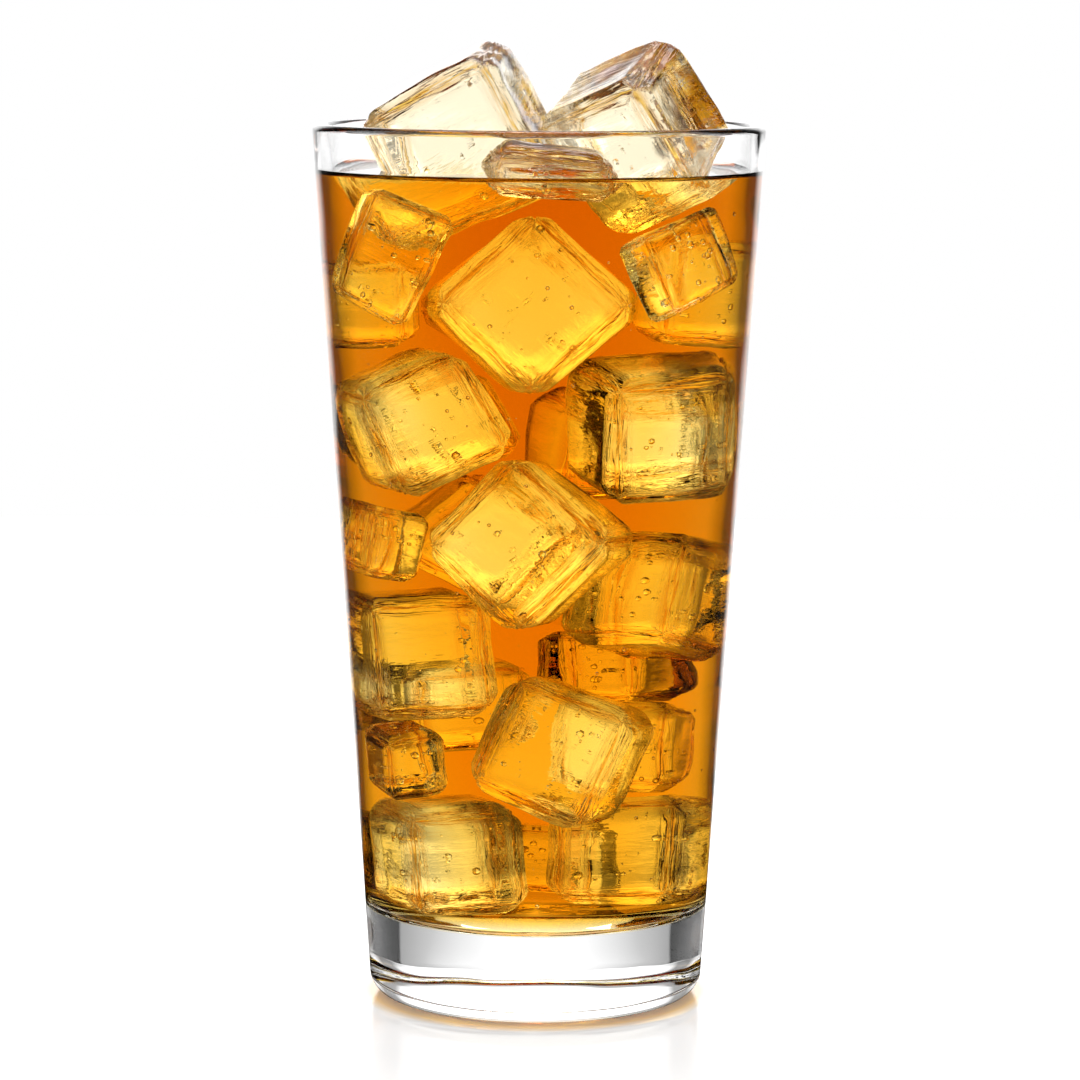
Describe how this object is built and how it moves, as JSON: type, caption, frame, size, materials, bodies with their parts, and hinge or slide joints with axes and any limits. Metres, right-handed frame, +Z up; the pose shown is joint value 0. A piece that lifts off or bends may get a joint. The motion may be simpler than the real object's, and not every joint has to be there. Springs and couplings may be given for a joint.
{
  "type": "glass of iced tea",
  "caption": "Tall tapered clear tumbler with a heavy base, filled with amber iced tea and large ice cubes that stand above the rim.",
  "frame": {"origin": "centre of the flat ring under the base that the glass stands on", "axes": "+Z up along the glass's axis, +X to the right and +Y to the back, seen from the side with the ice chip in front"},
  "size_m": [0.0822, 0.0822, 0.1755],
  "materials": {
    "glass": "clear pressed glass, fire-polished",
    "tea": "clear amber liquid",
    "ice": "wet clear ice with fine bubbles and cracks"
  },
  "bodies": {
    "root": {"tumbler": "glass", "tea": "tea", "ice_left": "ice", "ice_right": "ice", "ice_chip": "ice"}
  },
  "joints": []
}
